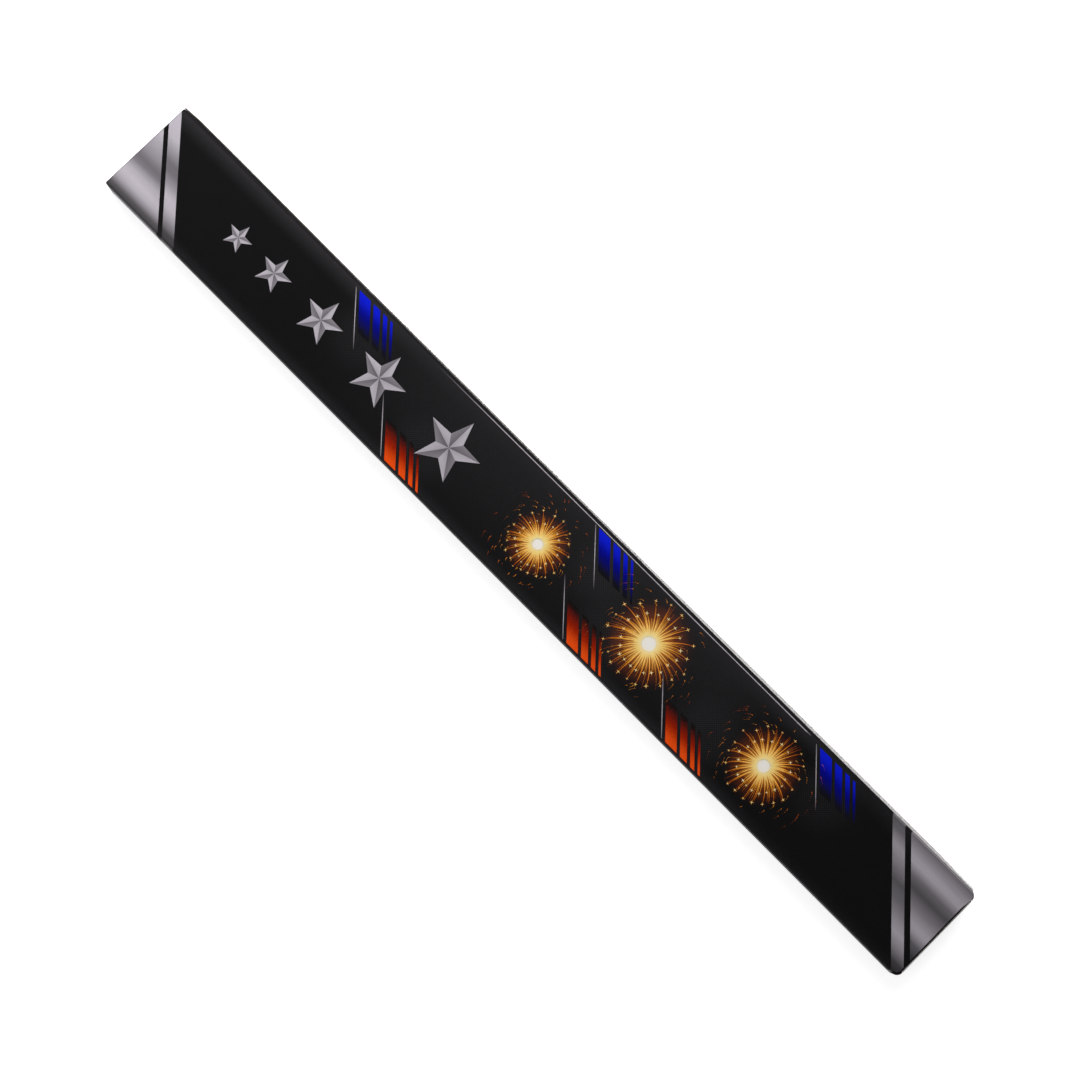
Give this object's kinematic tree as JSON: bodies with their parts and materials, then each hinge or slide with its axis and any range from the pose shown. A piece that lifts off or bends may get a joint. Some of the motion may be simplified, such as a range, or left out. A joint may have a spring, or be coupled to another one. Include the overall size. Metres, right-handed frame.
{
  "type": "boxed sparkler pack",
  "caption": "Long flat tuck-end paperboard carton, printed black with silver ends, holding a row of dipped wire sparklers that slide out when an end is opened.",
  "frame": {"origin": "centre of the carton's footprint, on the surface that its back panel lies on", "axes": "+X along the carton towards the end that holds the bare handles, +Y towards the glued seam side, +Z out of the printed front panel"},
  "size_m": [0.4246, 0.043, 0.009],
  "materials": {
    "printed_board": "satin",
    "plain_board": "matte",
    "wire": "satin",
    "coat": "matte"
  },
  "bodies": {
    "carton": {"front_panel": "printed_board", "back_panel": "printed_board", "plain_side_panel": "printed_board", "seam_side_panel": "printed_board", "glue_flap": "plain_board"},
    "head_closure": {"head_closure_panel": "printed_board"},
    "head_tongue": {"head_tuck_tongue": "plain_board"},
    "head_flap_plain": {"head_dust_flap_plain_side": "plain_board"},
    "head_flap_seam": {"head_dust_flap_seam_side": "plain_board"},
    "tail_closure": {"tail_closure_panel": "printed_board"},
    "tail_tongue": {"tail_tuck_tongue": "plain_board"},
    "tail_flap_plain": {"tail_dust_flap_plain_side": "plain_board"},
    "tail_flap_seam": {"tail_dust_flap_seam_side": "plain_board"},
    "sparkler_1": {"sparkler_wire_1": "wire", "sparkler_coat_1": "coat"},
    "sparkler_2": {"sparkler_wire_2": "wire", "sparkler_coat_2": "coat"},
    "sparkler_3": {"sparkler_wire_3": "wire", "sparkler_coat_3": "coat"},
    "sparkler_4": {"sparkler_wire_4": "wire", "sparkler_coat_4": "coat"},
    "sparkler_5": {"sparkler_wire_5": "wire", "sparkler_coat_5": "coat"},
    "sparkler_6": {"sparkler_wire_6": "wire", "sparkler_coat_6": "coat"},
    "sparkler_7": {"sparkler_wire_7": "wire", "sparkler_coat_7": "coat"},
    "sparkler_8": {"sparkler_wire_8": "wire", "sparkler_coat_8": "coat"}
  },
  "joints": [
    {"name": "head_closure_crease", "type": "hinge", "parent": "carton", "child": "head_closure", "pos_m": [-0.2121, 0, 0.00025], "axis": [0, -1, 0], "range_deg": [0, 90], "deforming": ["head_tuck_tongue"]},
    {"name": "head_tongue_crease", "type": "hinge", "parent": "head_closure", "child": "head_tongue", "pos_m": [-0.2121, 0, 0.0081], "axis": [0, -1, 0], "range_deg": [0, 31.5]},
    {"name": "head_flap_plain_crease", "type": "hinge", "parent": "carton", "child": "head_flap_plain", "pos_m": [-0.2114, -0.02125, 0.0045], "axis": [0, 0, 1], "range_deg": [0, 45]},
    {"name": "head_flap_seam_crease", "type": "hinge", "parent": "carton", "child": "head_flap_seam", "pos_m": [-0.2114, 0.02125, 0.0045], "axis": [0, 0, -1], "range_deg": [0, 45]},
    {"name": "tail_closure_crease", "type": "hinge", "parent": "carton", "child": "tail_closure", "pos_m": [0.2121, 0, 0.00875], "axis": [0, -1, 0], "range_deg": [0, 180], "deforming": ["tail_tuck_tongue"]},
    {"name": "tail_tongue_crease", "type": "hinge", "parent": "tail_closure", "child": "tail_tongue", "pos_m": [0.2121, 0, 0.0009], "axis": [0, -1, 0], "range_deg": [0, 45]},
    {"name": "tail_flap_plain_crease", "type": "hinge", "parent": "carton", "child": "tail_flap_plain", "pos_m": [0.2101, -0.02125, 0.0045], "axis": [0, 0, -1], "range_deg": [0, 90]},
    {"name": "tail_flap_seam_crease", "type": "hinge", "parent": "carton", "child": "tail_flap_seam", "pos_m": [0.2101, 0.02125, 0.0045], "axis": [0, 0, 1], "range_deg": [0, 90]},
    {"name": "sparkler_1_slide", "type": "slide", "parent": "carton", "child": "sparkler_1", "axis": [1, 0, 0], "range_m": [-0.0102, 0.0102]},
    {"name": "sparkler_2_slide", "type": "slide", "parent": "carton", "child": "sparkler_2", "axis": [1, 0, 0], "range_m": [-0.0102, 0.0102]},
    {"name": "sparkler_3_slide", "type": "slide", "parent": "carton", "child": "sparkler_3", "axis": [1, 0, 0], "range_m": [-0.0102, 0.0102]},
    {"name": "sparkler_4_slide", "type": "slide", "parent": "carton", "child": "sparkler_4", "axis": [1, 0, 0], "range_m": [-0.0102, 0.0102]},
    {"name": "sparkler_5_slide", "type": "slide", "parent": "carton", "child": "sparkler_5", "axis": [1, 0, 0], "range_m": [-0.0102, 0.0102]},
    {"name": "sparkler_6_slide", "type": "slide", "parent": "carton", "child": "sparkler_6", "axis": [1, 0, 0], "range_m": [-0.0102, 0.0102]},
    {"name": "sparkler_7_slide", "type": "slide", "parent": "carton", "child": "sparkler_7", "axis": [1, 0, 0], "range_m": [-0.0102, 0.0102]},
    {"name": "sparkler_8_slide", "type": "slide", "parent": "carton", "child": "sparkler_8", "axis": [1, 0, 0], "range_m": [-0.0102, 0.0102]}
  ],
  "couplings": [
    {"joint": "head_tongue_crease", "follows": "head_closure_crease", "ratio": 0.35},
    {"joint": "head_flap_plain_crease", "follows": "head_closure_crease", "ratio": 0.5},
    {"joint": "head_flap_seam_crease", "follows": "head_closure_crease", "ratio": 0.5},
    {"joint": "tail_tongue_crease", "follows": "tail_closure_crease", "ratio": 0.25},
    {"joint": "tail_flap_plain_crease", "follows": "tail_closure_crease", "ratio": 0.5},
    {"joint": "tail_flap_seam_crease", "follows": "tail_closure_crease", "ratio": 0.5}
  ]
}
